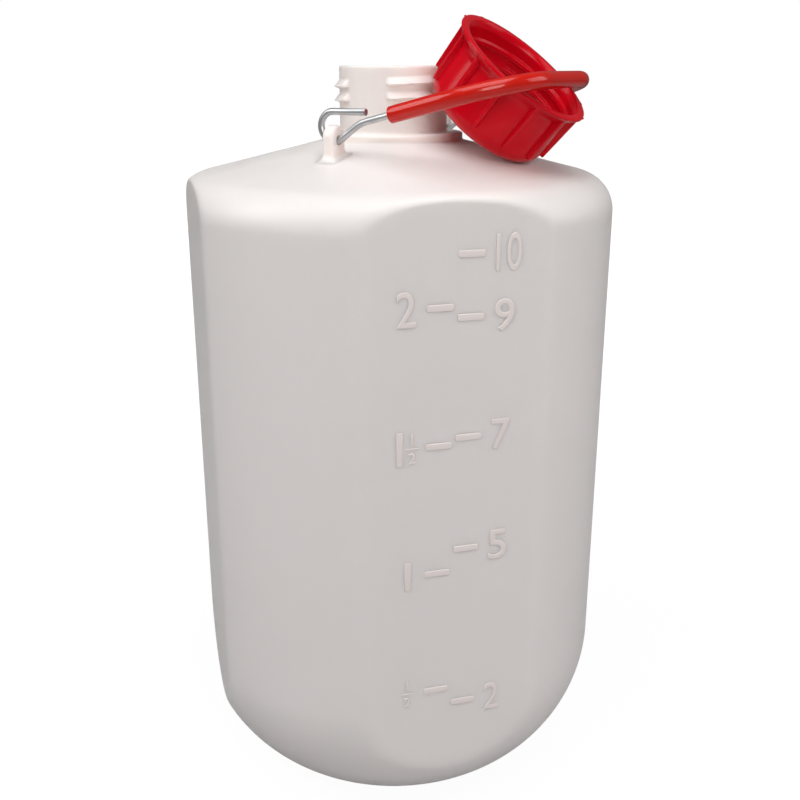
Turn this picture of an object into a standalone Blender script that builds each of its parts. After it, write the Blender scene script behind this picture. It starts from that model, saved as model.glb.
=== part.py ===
"""Ten-litre plastic carboy: a blown bottle with four flats, a wire bail with a grip sleeve, and a screw cap.

The bottle stands on the XY plane with its neck up and its axis on Z. The two lugs that carry the bail are at
+Y and -Y, and the bail lies towards +X. The cap is off the neck: it leans between the neck and the shoulder,
inside the bail, with its mouth up. All lengths are in metres.
"""

import math

import bmesh
import bpy
from mathutils import Matrix, Quaternion, Vector

# Clearance between pieces that touch or turn on each other, and how far a cutter runs past what it cuts.
GAP = 0.0003
OVERRUN = 0.002

# Bottle body
BOTTLE_HEIGHT = 0.380
BODY_RADIUS = 0.113
FLAT_DEPTH = 0.0088
BODY_WALL = 0.002
SHOULDER_SLOPE = math.radians(14)
SHOULDER_RADIUS = 0.0187
HEEL_RADIUS = 0.083
BASE_RADIUS = 0.069
PUSH_UP_RADIUS = 0.056
PUSH_UP_HEIGHT = 0.005
PUSH_UP_ANGLE = math.radians(45)
FLAT_COUNT = 4
FIRST_FLAT_ANGLE = math.radians(-45)

# Neck
NECK_RADIUS = 0.0273
NECK_WALL = 0.0028
NECK_HEIGHT = 0.032
COLLAR_RADIUS = 0.0355
COLLAR_HEIGHT = 0.004

# Lugs, which stand on the shoulder
LUG_DISTANCE = 0.0565
LUG_THICKNESS = 0.006
LUG_WIDTH = 0.0116
LUG_FOOT_FLARE = 0.0012
LUG_TOP_DROP = 0.0264
LUG_HOLE_RADIUS = 0.0029

# Bail wire. Its hook is an arc about the axis that it turns on, so it slides round through the lug's hole.
BAIL_AXIS_DROP = 0.027
WIRE_RADIUS = 0.0016
HOOK_RADIUS = 0.0067
HOOK_ARM_LENGTH = 0.0178
FOOT_LENGTH = 0.003
FOOT_BEND_RADIUS = 0.005
KNEE_REACH = 0.0145
KNEE_RISE = 0.0017
KNEE_BEND_RADIUS = 0.020
LEG_ANGLE = math.radians(14.1)
BAIL_REACH = 0.0902
BAIL_CORNER_RADIUS = 0.0365

# Grip sleeve
SLEEVE_RADIUS = 0.0039
SLEEVE_START = 0.0308

# Screw cap. Its mouth is the open end, and its ribs' crests draw in towards the closed end.
CAP_RADIUS = 0.0326
CAP_HEIGHT = 0.0348
CAP_WALL = 0.0018
CAP_END_WALL = 0.0035
CAP_EDGE_RADIUS = 0.009
CAP_RIM_RADIUS = 0.0368
CAP_RIM_HEIGHT = 0.0022
CAP_FLARE_HEIGHT = 0.003
CAP_MOUTH_RADIUS = 0.0327
CAP_MOUTH_DEPTH = 0.0025
CAP_ELEVATION = math.radians(49.4)
CAP_NECK_CLEARANCE = 0.0004
RIB_COUNT = 12
FIRST_RIB_ANGLE = math.radians(15)
RIB_CREST_RADIUS = 0.0356
RIB_LOW_CREST_RADIUS = 0.0343
RIB_RADIUS = 0.0016
RIB_RIM_STEP = 0.0004
RIB_END_REACH = 0.0015
LINER_RADIUS = 0.0279
LINER_THICKNESS = 0.0018

# Facets
FLAT_STEPS = 5
ROUND_STEPS = 9
ARCH_STEPS = 6
HEEL_STEPS = 5
SHOULDER_STEPS = 3
CONE_STEPS = 3
APEX_HALF_ANGLE = math.radians(3)
CAP_STEPS = 60
CAP_EDGE_STEPS = 4
HOOK_STEPS = 14
BEND_STEPS = 3
CORNER_STEPS = 10
LUG_STEPS = 10
HOLE_STEPS = 20
RIB_STEPS = 10
ROUNDING_STEPS = 2
WIRE_RESOLUTION = 2
SLEEVE_RESOLUTION = 4
MERGE_DISTANCE = 0.00001

# Finishes: colour, roughness, metallic
NATURAL_PLASTIC = ("natural_polyethylene", (0.84, 0.82, 0.80, 1.0), 0.42, 0.0)
RED_PLASTIC = ("red_cap_plastic", (0.66, 0.01, 0.03, 1.0), 0.28, 0.0)
RED_SLEEVE = ("red_soft_vinyl", (0.72, 0.03, 0.02, 1.0), 0.38, 0.0)
ZINC_WIRE = ("galvanised_wire", (0.60, 0.61, 0.62, 1.0), 0.38, 1.0)
WHITE_FOAM = ("white_liner_foam", (0.90, 0.90, 0.88, 1.0), 0.80, 0.0)


def clear_scene():
    """Remove every object that the scene starts with."""
    for obj in list(bpy.data.objects):
        bpy.data.objects.remove(obj, do_unlink=True)


def new_collection(name):
    """Make a collection in the scene and return it."""
    collection = bpy.data.collections.new(name)
    bpy.context.scene.collection.children.link(collection)
    return collection


def material(finish):
    """Return the material of a finish, made on first use."""
    name, colour, roughness, metallic = finish
    found = bpy.data.materials.get(name)
    if found:
        return found
    made = bpy.data.materials.new(name)
    made.use_nodes = True
    shader = made.node_tree.nodes["Principled BSDF"]
    shader.inputs["Base Color"].default_value = colour
    shader.inputs["Roughness"].default_value = roughness
    shader.inputs["Metallic"].default_value = metallic
    return made


def place(name, data, collection, finish=None, parent=None):
    """Add an object that holds a mesh or a curve, parented without an offset."""
    obj = bpy.data.objects.new(name, data)
    collection.objects.link(obj)
    obj.parent = parent
    if finish:
        data.materials.append(material(finish))
    return obj


def place_bmesh(name, bm, collection, finish=None, parent=None):
    """Write a bmesh into a new object, its faces turned outwards and shaded smooth between sharp edges."""
    bmesh.ops.recalc_face_normals(bm, faces=bm.faces)
    mesh = bpy.data.meshes.new(name)
    bm.to_mesh(mesh)
    bm.free()
    mesh.shade_smooth()
    mesh.set_sharp_from_angle(angle=math.radians(25))
    return place(name, mesh, collection, finish, parent)


def place_empty(name, location, collection, tilt=0.0):
    """Add an empty that carries a moving piece, turned about Y by the tilt."""
    empty = bpy.data.objects.new(name, None)
    collection.objects.link(empty)
    empty.location = location
    empty.rotation_euler = (0, tilt, 0)
    return empty


def make_cutter(obj):
    """Keep an object out of the part: it only shapes other pieces."""
    obj.hide_render = True
    obj.display_type = "WIRE"
    return obj


def add_boolean(obj, other, operation):
    """Join or cut an object with another one by a live modifier."""
    modifier = obj.modifiers.new(f"{operation.lower()}_{other.name}", "BOOLEAN")
    modifier.operation = operation
    modifier.object = other
    modifier.solver = "EXACT"


def arc_points(centre, radius, angles):
    """Return the (radius, height) points of an arc in a turned profile."""
    return [(centre[0] + radius * math.cos(angle), centre[1] + radius * math.sin(angle)) for angle in angles]


def spread(first, last, steps):
    """Return steps + 1 even values from first to last."""
    return [first + (last - first) * index / steps for index in range(steps + 1)]


def cone_height(radius, inset=0.0):
    """Height of the shoulder's cone at a radius, or of the surface that lies inset below it."""
    collar_base = BOTTLE_HEIGHT - NECK_HEIGHT - COLLAR_HEIGHT
    drop = (radius - COLLAR_RADIUS) * math.tan(SHOULDER_SLOPE)
    return collar_base - drop - inset / math.cos(SHOULDER_SLOPE)


def flat_distance(inset=0.0):
    """Distance of the flats from the axis, or of the surfaces that lie inset behind them."""
    return BODY_RADIUS - FLAT_DEPTH - inset


def heel_centre():
    """Centre of the heel's arc in the turned profile. The arc meets the ground at the base radius."""
    radius = BODY_RADIUS - HEEL_RADIUS
    return radius, math.sqrt(HEEL_RADIUS**2 - (BASE_RADIUS - radius) ** 2)


def shoulder_centre():
    """Centre of the arc that rounds the shoulder's cone into the side."""
    radius = BODY_RADIUS - SHOULDER_RADIUS
    return radius, cone_height(radius, SHOULDER_RADIUS)


def bottle_profile(inset, neck_radius):
    """Turned profile of the bottle, from its foot to its mouth.

    An inset of zero gives the outer surface, and the wall's thickness gives the inner one.
    """
    flat = flat_distance(inset)
    ramp_shift = inset * math.tan(PUSH_UP_ANGLE / 2)
    ramp_length = PUSH_UP_HEIGHT / math.tan(PUSH_UP_ANGLE)
    points = [
        (PUSH_UP_RADIUS - ramp_length + ramp_shift, PUSH_UP_HEIGHT + inset),
        (PUSH_UP_RADIUS + ramp_shift, inset),
    ]

    centre = heel_centre()
    radius = HEEL_RADIUS - inset
    foot = -math.asin((centre[1] - inset) / radius)
    apex = -math.acos((flat - centre[0]) / radius)
    points += arc_points(centre, radius, spread(foot, apex, HEEL_STEPS))
    points += arc_points(centre, radius, spread(apex, 0, ARCH_STEPS))[1:]

    centre = shoulder_centre()
    radius = SHOULDER_RADIUS - inset
    top = math.pi / 2 - SHOULDER_SLOPE
    apex = math.acos((flat - centre[0]) / radius)
    points += arc_points(centre, radius, spread(0, apex, ARCH_STEPS))
    points += arc_points(centre, radius, spread(apex, top, SHOULDER_STEPS))[1:]

    cone_end = neck_radius if inset else COLLAR_RADIUS
    points += [(r, cone_height(r, inset)) for r in spread(points[-1][0], cone_end, CONE_STEPS)[1:]]
    if not inset:
        collar_top = BOTTLE_HEIGHT - NECK_HEIGHT
        points += [(COLLAR_RADIUS, collar_top), (neck_radius, collar_top)]
    points.append((neck_radius, BOTTLE_HEIGHT))
    return points


def section(radius, height, flat):
    """Points of one level section: a circle with flats cut at the flat distance.

    The flats' edges always have points of their own, so the arches where the flats run out stay crisp.
    """
    pitch = 2 * math.pi / FLAT_COUNT
    even = pitch / 2 * FLAT_STEPS / (FLAT_STEPS + ROUND_STEPS)
    if radius > flat:
        half = max(math.acos(flat / radius), APEX_HALF_ANGLE)
    else:
        half = even + (APEX_HALF_ANGLE - even) * radius / flat
    points = []
    for index in range(FLAT_COUNT):
        middle = FIRST_FLAT_ANGLE + index * pitch
        turns = spread(-half, half, FLAT_STEPS)[:-1] + spread(half, pitch - half, ROUND_STEPS)[:-1]
        for turn in turns:
            reach = min(radius, flat / math.cos(turn)) if abs(turn) <= half else radius
            angle = middle + turn
            points.append(Vector((reach * math.cos(angle), reach * math.sin(angle), height)))
    return points


def bridge(bm, lower, upper):
    """Join two rings of vertices with four-sided faces."""
    count = len(lower)
    for index in range(count):
        following = (index + 1) % count
        bm.faces.new((lower[index], lower[following], upper[following], upper[index]))


def close_ring(bm, ring, height):
    """Close a ring with triangles to a point on the axis."""
    pole = bm.verts.new((0, 0, height))
    for index, vertex in enumerate(ring):
        bm.faces.new((pole, vertex, ring[(index + 1) % len(ring)]))


def build_shell():
    """Loft the bottle's wall: up the outside from the foot, over the mouth, and down the inside."""
    outer = bottle_profile(0.0, NECK_RADIUS)
    inner = bottle_profile(BODY_WALL, NECK_RADIUS - NECK_WALL)
    bm = bmesh.new()
    rings = []
    for profile, flat in ((outer, flat_distance()), (inner[::-1], flat_distance(BODY_WALL))):
        for radius, height in profile:
            rings.append([bm.verts.new(point) for point in section(radius, height, flat)])
    for lower, upper in zip(rings, rings[1:]):
        bridge(bm, lower, upper)
    close_ring(bm, rings[0], outer[0][1])
    close_ring(bm, rings[-1], inner[0][1])
    return bm


def build_lug(side):
    """Extrude one lug: a rounded tab in the parting plane, with its foot sunk halfway into the shoulder."""
    half = LUG_WIDTH / 2
    crown = BOTTLE_HEIGHT - LUG_TOP_DROP - half
    outline = arc_points((LUG_DISTANCE, crown), half, spread(0, math.pi, LUG_STEPS))
    for reach in (LUG_DISTANCE - half - LUG_FOOT_FLARE, LUG_DISTANCE + half + LUG_FOOT_FLARE):
        outline.append((reach, cone_height(reach, BODY_WALL / 2)))
    bm = bmesh.new()
    face = bm.faces.new([bm.verts.new((-LUG_THICKNESS / 2, side * y, z)) for y, z in outline])
    made = bmesh.ops.extrude_face_region(bm, geom=[face])
    moved = [item for item in made["geom"] if isinstance(item, bmesh.types.BMVert)]
    bmesh.ops.translate(bm, vec=(LUG_THICKNESS, 0, 0), verts=moved)
    return bm


def build_lug_hole(side):
    """Cylinder along X that cuts the hole for the bail's hook, on the middle of the wire's arc."""
    sag = HOOK_RADIUS - math.sqrt(HOOK_RADIUS**2 - (LUG_THICKNESS / 2) ** 2)
    height = BOTTLE_HEIGHT - BAIL_AXIS_DROP - HOOK_RADIUS + sag / 2
    turn = Matrix.Translation((0, side * LUG_DISTANCE, height)) @ Matrix.Rotation(math.pi / 2, 4, "Y")
    bm = bmesh.new()
    bmesh.ops.create_cone(
        bm,
        cap_ends=True,
        segments=HOLE_STEPS,
        radius1=LUG_HOLE_RADIUS,
        radius2=LUG_HOLE_RADIUS,
        depth=LUG_THICKNESS + 2 * OVERRUN,
        matrix=turn,
    )
    return bm


def make_bottle(parts, cutters):
    """Make the bottle: the blown shell with its two pierced lugs, all one moulding."""
    bottle = place_bmesh("bottle", build_shell(), parts, NATURAL_PLASTIC)
    for label, side in (("front", -1), ("back", 1)):
        lug = place_bmesh(f"{label}_lug", build_lug(side), cutters)
        add_boolean(bottle, make_cutter(lug), "UNION")
    for label, side in (("front", -1), ("back", 1)):
        hole = place_bmesh(f"{label}_lug_hole", build_lug_hole(side), cutters)
        add_boolean(bottle, make_cutter(hole), "DIFFERENCE")


def bend(before, corner, after, radius, steps):
    """Return the points of the arc that rounds a corner of a path."""
    inward = (before - corner).normalized()
    outward = (after - corner).normalized()
    half = inward.angle(outward) / 2
    centre = corner + (inward + outward).normalized() * radius / math.sin(half)
    start = corner + inward * radius / math.tan(half) - centre
    axis = start.cross(corner - centre)
    return [centre + Quaternion(axis, angle) @ start for angle in spread(0, math.pi - 2 * half, steps)]


def leg_height(reach):
    """Height of the bail's straight leg over its turning axis."""
    return KNEE_RISE + (reach - KNEE_REACH) * math.tan(LEG_ANGLE)


def mirrored(points):
    """Return the points of the other leg, in the order that carries the path on."""
    return [Vector((point.x, -point.y, point.z)) for point in reversed(points)]


def wire_path():
    """Centre line of the bail, measured from its axis: hook, foot, knee, leg and half the bar, twice."""
    side = -LUG_DISTANCE
    hook = [
        Vector((HOOK_RADIUS * math.cos(angle), side, HOOK_RADIUS * math.sin(angle)))
        for angle in spread(math.pi / 2, 3 * math.pi / 2, HOOK_STEPS)
    ]
    foot = Vector((FOOT_LENGTH, side, -HOOK_RADIUS))
    knee = Vector((KNEE_REACH, side, KNEE_RISE))
    corner = Vector((BAIL_REACH, side, leg_height(BAIL_REACH)))
    across = Vector((BAIL_REACH, 0, corner.z))
    half = [Vector((HOOK_ARM_LENGTH, side, HOOK_RADIUS))] + hook
    half += bend(hook[-1], foot, knee, FOOT_BEND_RADIUS, BEND_STEPS)
    half += bend(foot, knee, corner, KNEE_BEND_RADIUS, BEND_STEPS)
    half += bend(knee, corner, across, BAIL_CORNER_RADIUS, CORNER_STEPS)
    return half + mirrored(half)


def sleeve_path():
    """Centre line of the grip sleeve, which follows the wire from one leg round to the other."""
    side = -LUG_DISTANCE
    start = Vector((SLEEVE_START, side, leg_height(SLEEVE_START)))
    corner = Vector((BAIL_REACH, side, leg_height(BAIL_REACH)))
    across = Vector((BAIL_REACH, 0, corner.z))
    half = [start] + bend(start, corner, across, BAIL_CORNER_RADIUS, CORNER_STEPS)
    return half + mirrored(half)


def tube_curve(name, points, radius, resolution, caps):
    """Make a round tube along a path."""
    curve = bpy.data.curves.new(name, "CURVE")
    curve.dimensions = "3D"
    curve.bevel_depth = radius
    curve.bevel_resolution = resolution
    curve.use_fill_caps = caps
    spline = curve.splines.new("POLY")
    spline.points.add(len(points) - 1)
    for target, point in zip(spline.points, points):
        target.co = (*point, 1)
    return curve


def make_sleeve(parts, axle):
    """Make the grip sleeve: an open tube round the wire, given its wall inwards."""
    curve = tube_curve("sleeve_guide", sleeve_path(), SLEEVE_RADIUS, SLEEVE_RESOLUTION, False)
    guide = place("sleeve_guide", curve, parts)
    bpy.context.view_layer.update()
    graph = bpy.context.evaluated_depsgraph_get()
    mesh = bpy.data.meshes.new_from_object(guide.evaluated_get(graph))
    bpy.data.objects.remove(guide, do_unlink=True)
    mesh.name = "grip_sleeve"
    mesh.shade_smooth()
    sleeve = place("grip_sleeve", mesh, parts, RED_SLEEVE, axle)
    wall = sleeve.modifiers.new("wall", "SOLIDIFY")
    wall.thickness = SLEEVE_RADIUS - WIRE_RADIUS - GAP
    wall.offset = -1


def make_bail(parts):
    """Make the wire bail and its sleeve, on an empty at the axis that they turn about."""
    axle = place_empty("bail_axis", (0, 0, BOTTLE_HEIGHT - BAIL_AXIS_DROP), parts)
    wire = tube_curve("bail_wire", wire_path(), WIRE_RADIUS, WIRE_RESOLUTION, True)
    place("bail_wire", wire, parts, ZINC_WIRE, axle)
    make_sleeve(parts, axle)


def cap_profile():
    """Turned profile of the cap, its mouth at height zero: up the inside, over the rim, down the outside."""
    edge = (CAP_RADIUS - CAP_EDGE_RADIUS, CAP_EDGE_RADIUS - CAP_HEIGHT)
    inner_radius = CAP_EDGE_RADIUS - CAP_WALL
    floor = CAP_END_WALL - CAP_HEIGHT
    floor_angle = -math.asin((edge[1] - floor) / inner_radius)
    points = [(0, floor)]
    points += arc_points(edge, inner_radius, spread(floor_angle, 0, CAP_EDGE_STEPS))
    points += [
        (CAP_RADIUS - CAP_WALL, -CAP_MOUTH_DEPTH),
        (CAP_MOUTH_RADIUS, 0),
        (CAP_RIM_RADIUS, 0),
        (CAP_RIM_RADIUS, -CAP_RIM_HEIGHT),
        (CAP_RADIUS, -CAP_RIM_HEIGHT - CAP_FLARE_HEIGHT),
    ]
    points += arc_points(edge, CAP_EDGE_RADIUS, spread(0, -math.pi / 2, CAP_EDGE_STEPS))
    points.append((0, -CAP_HEIGHT))
    return points


def profile_mesh(name, points):
    """Make a wire outline in the XZ plane, for a Screw modifier to turn."""
    bm = bmesh.new()
    vertices = [bm.verts.new((radius, 0, height)) for radius, height in points]
    for start, end in zip(vertices, vertices[1:]):
        bm.edges.new((start, end))
    mesh = bpy.data.meshes.new(name)
    bm.to_mesh(mesh)
    bm.free()
    return mesh


def build_ribs():
    """Stand the grip ribs round the cap: bars that lean in towards its closed end, with round lower ends."""
    top = -RIB_RIM_STEP
    bottom = CAP_EDGE_RADIUS - RIB_END_REACH - CAP_HEIGHT
    middle = (RIB_CREST_RADIUS + RIB_LOW_CREST_RADIUS) / 2 - RIB_RADIUS
    lean = math.atan((RIB_CREST_RADIUS - RIB_LOW_CREST_RADIUS) / (top - bottom))
    bm = bmesh.new()
    for index in range(RIB_COUNT):
        turn = Matrix.Rotation(FIRST_RIB_ANGLE + 2 * math.pi * index / RIB_COUNT, 4, "Z")
        shift = Matrix.Translation((middle, 0, (top + bottom) / 2))
        made = bmesh.ops.create_cone(
            bm,
            cap_ends=True,
            segments=RIB_STEPS,
            radius1=RIB_RADIUS,
            radius2=RIB_RADIUS,
            depth=top - bottom,
            matrix=turn @ shift @ Matrix.Rotation(lean, 4, "Y"),
        )
        low = [v for v in made["verts"] if v.co.z < (top + bottom) / 2]
        edges = {edge for vertex in low for edge in vertex.link_edges if edge.other_vert(vertex) in low}
        bmesh.ops.bevel(
            bm,
            geom=list(edges),
            offset=RIB_RADIUS / 2,
            segments=ROUNDING_STEPS,
            profile=0.5,
            affect="EDGES",
        )
    return bm


def cap_place():
    """Where the cap's mouth centre lies, in X and Z.

    Its rounded closed edge leans on the neck at one side and lies on the shoulder at the other.
    """
    tilt = math.pi / 2 - CAP_ELEVATION
    across = CAP_RADIUS - CAP_EDGE_RADIUS
    along = CAP_HEIGHT - CAP_EDGE_RADIUS
    leaning = NECK_RADIUS + CAP_NECK_CLEARANCE + CAP_EDGE_RADIUS
    x = leaning + across * math.cos(tilt) + along * math.sin(tilt)
    low_edge = x + across * math.cos(tilt) - along * math.sin(tilt)
    seat = cone_height(low_edge, -CAP_EDGE_RADIUS - GAP)
    return x, seat + across * math.sin(tilt) + along * math.cos(tilt)


def make_cap(parts, cutters):
    """Make the cap and its liner, on an empty at the grip's bar, which they tip out over when picked up."""
    swing = (BAIL_REACH, 0, BOTTLE_HEIGHT - BAIL_AXIS_DROP + leg_height(BAIL_REACH))
    axle = place_empty("cap_axis", swing, parts, math.pi / 2 - CAP_ELEVATION)
    x, z = cap_place()
    offset = axle.rotation_euler.to_matrix().inverted() @ (Vector((x, 0, z)) - Vector(swing))

    cap = place("screw_cap", profile_mesh("screw_cap", cap_profile()), parts, RED_PLASTIC, axle)
    cap.location = offset
    turned = cap.modifiers.new("turned", "SCREW")
    turned.steps = CAP_STEPS
    turned.render_steps = CAP_STEPS
    turned.use_merge_vertices = True
    turned.merge_threshold = MERGE_DISTANCE
    turned.use_smooth_shade = True
    ribs = place_bmesh("cap_ribs", build_ribs(), cutters, RED_PLASTIC, axle)
    ribs.location = offset
    add_boolean(cap, make_cutter(ribs), "UNION")

    bm = bmesh.new()
    middle = CAP_END_WALL + GAP + LINER_THICKNESS / 2 - CAP_HEIGHT
    bmesh.ops.create_cone(
        bm,
        cap_ends=True,
        segments=CAP_STEPS,
        radius1=LINER_RADIUS,
        radius2=LINER_RADIUS,
        depth=LINER_THICKNESS,
        matrix=Matrix.Translation((0, 0, middle)),
    )
    liner = place_bmesh("cap_liner", bm, parts, WHITE_FOAM, axle)
    liner.location = offset


def main():
    """Build the carboy."""
    clear_scene()
    parts = new_collection("plastic_carboy")
    cutters = new_collection("cutters")
    make_bottle(parts, cutters)
    make_bail(parts)
    make_cap(parts, cutters)


main()
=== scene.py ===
"""Looks of the ten-litre plastic carboy: the blown bottle with its thread and level marks, the wire bail with
its grip, and the ribbed screw cap that lies beside the neck.

Lengths are in metres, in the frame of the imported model: Z up, the bottle standing at the origin, the bail and
the cap towards +X, and the two lugs at +Y and -Y. Angles are in radians, unless a name ends in degrees.
"""

from __future__ import annotations

import logging
import math
from collections.abc import Callable, Iterable, Sequence
from dataclasses import dataclass, field
from enum import Enum

import bmesh
import bpy
import numpy as np
from bpy.types import Material, NodeSocket, Object
from mathutils import Matrix, Vector

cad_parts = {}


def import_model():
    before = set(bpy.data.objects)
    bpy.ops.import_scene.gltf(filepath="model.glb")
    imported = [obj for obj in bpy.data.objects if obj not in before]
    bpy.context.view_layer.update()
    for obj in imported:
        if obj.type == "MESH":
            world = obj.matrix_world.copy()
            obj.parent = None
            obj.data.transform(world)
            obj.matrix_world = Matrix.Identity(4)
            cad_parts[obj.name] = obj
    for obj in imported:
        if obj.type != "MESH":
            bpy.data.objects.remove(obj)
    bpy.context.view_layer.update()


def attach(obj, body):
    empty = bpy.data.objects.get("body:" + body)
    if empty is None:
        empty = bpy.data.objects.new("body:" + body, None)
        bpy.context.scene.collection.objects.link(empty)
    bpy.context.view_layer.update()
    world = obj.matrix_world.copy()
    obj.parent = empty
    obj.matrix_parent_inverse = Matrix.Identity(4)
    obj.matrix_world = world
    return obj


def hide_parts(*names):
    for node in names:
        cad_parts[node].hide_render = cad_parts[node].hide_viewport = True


LOG = logging.getLogger("carboy")
Colour = tuple[float, float, float, float]
Span = tuple[float, float]

MERGE_DISTANCE = 1e-6
POINT_SIZE = 0.001
FACING = 0.9
SOFT_EDGE = math.radians(35)
HARD_EDGE = math.radians(60)
FULL_TURN_DEGREES = 360.0
UNIT: Span = (0.0, 1.0)
NOISE_MIDDLE: Span = (0.35, 0.65)
NOISE_SPREAD: Span = (0.3, 0.7)
WHITE: Colour = (1.0, 1.0, 1.0, 1.0)
# Positions of a Mix node's colour sockets, and of the lowest and the highest corner of a bounding box.
MIX_FIRST = 6
MIX_SECOND = 7
MIX_RESULT = 2
LOW_CORNER = 0
HIGH_CORNER = 6


class Body(Enum):
    """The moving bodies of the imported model."""

    BOTTLE = "bottle"
    BAIL = "bail"
    CAP = "cap"


class Slot(Enum):
    """Names of the material slots."""

    NATURAL = "natural_plastic"
    WIRE = "zinc_wire"
    SLEEVE = "sleeve_plastic"
    CAP = "cap_plastic"
    LINER = "liner_foam"


class Kind(Enum):
    """What an edit-mode selection picks."""

    VERT = "VERT"
    EDGE = "EDGE"
    FACE = "FACE"


class Merger(Enum):
    """What a boolean does with the other object."""

    ADD = "UNION"
    CUT = "DIFFERENCE"


# Paths


@dataclass(frozen=True)
class Corner:
    """A corner of a path, and the radius that rounds it."""

    point: Vector
    radius: float = 0.0


def at(radius: float, height: float) -> Vector:
    """Return a point of a turned profile, which is drawn in the XZ plane."""
    return Vector((radius, 0.0, height))


def arc(centre: Vector, radius: float, first: float, last: float, step: float) -> list[Vector]:
    """Draw an arc in the XZ plane.

    Args:
        centre: The arc's centre.
        radius: Its radius.
        first: The angle it starts at, counted from +X towards +Z.
        last: The angle it ends at.
        step: The longest chord.

    Returns:
        The arc's points, both ends among them.
    """
    count = max(2, math.ceil(abs(last - first) * radius / step))
    angles = [first + (last - first) * index / count for index in range(count + 1)]
    return [centre + Vector((math.cos(angle), 0.0, math.sin(angle))) * radius for angle in angles]


def rounded(corners: Sequence[Corner], step: float) -> list[Vector]:
    """Round the corners of a path.

    Args:
        corners: The path's corners, in order.
        step: The longest chord of a rounding.

    Returns:
        The points of the rounded path.
    """
    path = [corners[0].point.copy()]
    for before, corner, after in zip(corners, corners[1:], corners[2:]):
        if not corner.radius:
            path.append(corner.point.copy())
            continue
        inward = (before.point - corner.point).normalized()
        outward = (after.point - corner.point).normalized()
        half = inward.angle(outward) / 2
        centre = corner.point + (inward + outward).normalized() * corner.radius / math.sin(half)
        start = corner.point + inward * corner.radius / math.tan(half) - centre
        axis = start.cross(corner.point - centre)
        sweep = math.pi - 2 * half
        count = max(2, math.ceil(sweep * corner.radius / step))
        turns = [Matrix.Rotation(sweep * index / count, 3, axis) for index in range(count + 1)]
        path += [centre + turn @ start for turn in turns]
    path.append(corners[-1].point.copy())
    return path


def divided(path: Sequence[Vector], longest: Callable[[Vector], float]) -> list[Vector]:
    """Divide a path's long steps.

    Args:
        path: The path's points.
        longest: Gives the longest step allowed at a place.

    Returns:
        The path with points added.
    """
    points = [path[0]]
    for start, end in zip(path, path[1:]):
        count = max(1, math.ceil((end - start).length / longest((start + end) / 2)))
        points += [start.lerp(end, index / count) for index in range(1, count + 1)]
    return points


def soft_min(value: np.ndarray, limit: float, softness: float) -> np.ndarray:
    """Return the smaller of value and limit, rounded off where the two are within softness of each other."""
    near = np.clip(1 - np.abs(value - limit) / softness, 0, 1)
    return np.minimum(value, limit) - near**2 * softness / 4


def smooth_step(value: np.ndarray) -> np.ndarray:
    """Return an S-shaped ramp that is 0 below 0 and 1 above 1."""
    clipped = np.clip(value, 0, 1)
    return clipped * clipped * (3 - 2 * clipped)


def polar(places: np.ndarray) -> tuple[np.ndarray, np.ndarray]:
    """Return the angle and the distance of each place round the Z axis."""
    return np.arctan2(places[:, 1], places[:, 0]), np.hypot(places[:, 0], places[:, 1])


def widened(places: np.ndarray, ratio: np.ndarray) -> np.ndarray:
    """Return places whose distances from the Z axis are multiplied, each by its own ratio."""
    return np.column_stack((places[:, :2] * ratio[:, None], places[:, 2]))


# Modelling


def pick(*objects: Object) -> None:
    """Select these objects alone and make the first one active.

    Args:
        objects: What to select.
    """
    bpy.ops.object.select_all(action="DESELECT")
    for obj in objects:
        obj.select_set(True)
    bpy.context.view_layer.objects.active = objects[0]


def edit(obj: Object) -> None:
    """Enter edit mode on one object, with nothing selected.

    Args:
        obj: The object to edit.
    """
    pick(obj)
    bpy.ops.object.mode_set(mode="EDIT")
    bpy.ops.mesh.select_all(action="DESELECT")


def leave() -> None:
    """Leave edit mode."""
    bpy.ops.object.mode_set(mode="OBJECT")


def merge_doubles(turn_outwards: bool = True) -> None:
    """Merge the doubled vertices of the mesh in edit mode.

    Args:
        turn_outwards: Whether to turn its faces outwards too.
    """
    bpy.ops.mesh.select_all(action="SELECT")
    bpy.ops.mesh.remove_doubles(threshold=MERGE_DISTANCE)
    if turn_outwards:
        bpy.ops.mesh.normals_make_consistent(inside=False)


def select_where(obj: Object, kind: Kind, test: Callable[[object], bool]) -> None:
    """Select, in edit mode, the vertices, edges or faces that pass a test.

    Args:
        obj: The object in edit mode.
        kind: What to pick.
        test: Says of one element whether it is picked.
    """
    bpy.ops.mesh.select_mode(type=kind.value)
    bpy.ops.mesh.select_all(action="DESELECT")
    mesh = bmesh.from_edit_mesh(obj.data)
    elements = {Kind.VERT: mesh.verts, Kind.EDGE: mesh.edges, Kind.FACE: mesh.faces}[kind]
    for element in elements:
        if test(element):
            element.select_set(True)
    mesh.select_flush_mode()
    bmesh.update_edit_mesh(obj.data)


def every_vertex(edge: bmesh.types.BMEdge, test: Callable[[Vector], bool]) -> bool:
    """Tell whether both ends of an edge pass a test of their place."""
    return all(test(vertex.co) for vertex in edge.verts)


def bevel_edges(
    obj: Object, width: float, segments: int, test: Callable[[bmesh.types.BMEdge], bool]
) -> None:
    """Bevel, in edit mode, the edges that pass a test.

    Args:
        obj: The object in edit mode.
        width: How wide the bevel is.
        segments: How many faces it takes.
        test: Says of one edge whether it is bevelled.
    """
    select_where(obj, Kind.EDGE, test)
    bpy.ops.mesh.bevel(offset=width, segments=segments, affect="EDGES")


def named(name: str) -> Object:
    """Name the active object and its data, and return it.

    Args:
        name: Their new name.

    Returns:
        The active object.
    """
    obj = bpy.context.object
    obj.name = name
    obj.data.name = name
    return obj


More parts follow.
